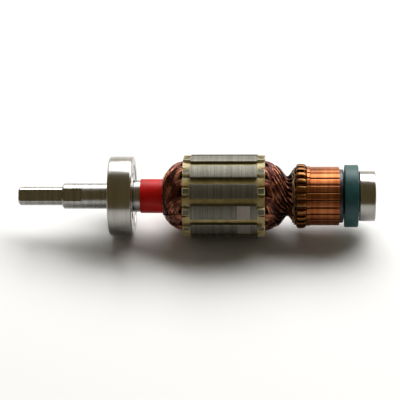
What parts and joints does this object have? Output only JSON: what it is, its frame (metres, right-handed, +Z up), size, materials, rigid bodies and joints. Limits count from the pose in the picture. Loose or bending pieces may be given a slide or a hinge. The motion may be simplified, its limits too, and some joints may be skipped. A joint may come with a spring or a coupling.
{
  "type": "motor armature",
  "caption": "Wound armature of a small commutator motor: slotted lamination stack on a stepped shaft, with commutator, spacer ring and a ball bearing at each end.",
  "frame": {"origin": "on the shaft's axis, at the middle of the drive bearing's width", "axes": "+X along the shaft from the drive tip to the commutator, +Z up as the armature lies on its lamination stack, -Y towards the viewer"},
  "size_m": [0.1351, 0.0312, 0.0312],
  "materials": {
    "shaft_steel": "ground steel with fine turning marks",
    "lamination_steel": "punched silicon steel, ground across the edges of the laminations",
    "insulator_board": "vulcanised fibre board, resin coated",
    "slot_paper": "cream aramid slot paper",
    "enamelled_copper": "enamelled copper wire under baked varnish",
    "red_sleeve": "red insulating tube, glossy",
    "phenolic_moulding": "black phenolic moulding",
    "commutator_copper": "turned bare copper, oxidised",
    "teal_plastic": "teal moulded plastic",
    "bearing_steel": "ground bearing steel",
    "cage_steel": "pressed steel",
    "shield_steel": "pressed steel sheet"
  },
  "bodies": {
    "armature": {"shaft": "shaft_steel", "lamination_stack": "lamination_steel", "end_insulator_drive": "insulator_board", "end_insulator_commutator": "insulator_board", "slot_liners": "slot_paper", "slot_wedge_01": "slot_paper", "slot_wedge_02": "slot_paper", "slot_wedge_03": "slot_paper", "slot_wedge_04": "slot_paper", "slot_wedge_05": "slot_paper", "slot_wedge_06": "slot_paper", "slot_wedge_07": "slot_paper", "slot_wedge_08": "slot_paper", "slot_wedge_09": "slot_paper", "slot_wedge_10": "slot_paper", "slot_wedge_11": "slot_paper", "slot_wedge_12": "slot_paper", "winding": "enamelled_copper", "insulating_sleeve": "red_sleeve", "commutator_moulding": "phenolic_moulding", "commutator_bar_01": "commutator_copper", "commutator_bar_02": "commutator_copper", "commutator_bar_03": "commutator_copper", "commutator_bar_04": "commutator_copper", "commutator_bar_05": "commutator_copper", "commutator_bar_06": "commutator_copper", "commutator_bar_07": "commutator_copper", "commutator_bar_08": "commutator_copper", "commutator_bar_09": "commutator_copper", "commutator_bar_10": "commutator_copper", "commutator_bar_11": "commutator_copper", "commutator_bar_12": "commutator_copper", "commutator_bar_13": "commutator_copper", "commutator_bar_14": "commutator_copper", "commutator_bar_15": "commutator_copper", "commutator_bar_16": "commutator_copper", "commutator_bar_17": "commutator_copper", "commutator_bar_18": "commutator_copper", "commutator_bar_19": "commutator_copper", "commutator_bar_20": "commutator_copper", "commutator_bar_21": "commutator_copper", "commutator_bar_22": "commutator_copper", "commutator_bar_23": "commutator_copper", "commutator_bar_24": "commutator_copper", "spacer_ring": "teal_plastic", "drive_bearing_inner_ring": "bearing_steel", "tail_bearing_inner_ring": "bearing_steel"},
    "drive_bearing_outer": {"drive_bearing_outer_ring": "bearing_steel", "drive_bearing_shield_outboard": "shield_steel", "drive_bearing_shield_inboard": "shield_steel"},
    "drive_bearing_train": {"drive_bearing_cage": "cage_steel", "drive_bearing_balls": "bearing_steel"},
    "tail_bearing_outer": {"tail_bearing_outer_ring": "bearing_steel", "tail_bearing_shield_outboard": "shield_steel", "tail_bearing_shield_inboard": "shield_steel"},
    "tail_bearing_train": {"tail_bearing_cage": "cage_steel", "tail_bearing_balls": "bearing_steel"}
  },
  "joints": [
    {"name": "drive_bearing_spin", "type": "hinge", "parent": "armature", "child": "drive_bearing_outer", "pos_m": [0, 0, 0], "axis": [1, 0, 0], "continuous": true},
    {"name": "drive_train_spin", "type": "hinge", "parent": "armature", "child": "drive_bearing_train", "pos_m": [0, 0, 0], "axis": [1, 0, 0], "continuous": true},
    {"name": "tail_bearing_spin", "type": "hinge", "parent": "armature", "child": "tail_bearing_outer", "pos_m": [0.0924, 0, 0], "axis": [1, 0, 0], "continuous": true},
    {"name": "tail_train_spin", "type": "hinge", "parent": "armature", "child": "tail_bearing_train", "pos_m": [0.0924, 0, 0], "axis": [1, 0, 0], "continuous": true}
  ],
  "couplings": [
    {"joint": "drive_train_spin", "follows": "drive_bearing_spin", "ratio": 0.619},
    {"joint": "tail_train_spin", "follows": "tail_bearing_spin", "ratio": 0.6346}
  ]
}
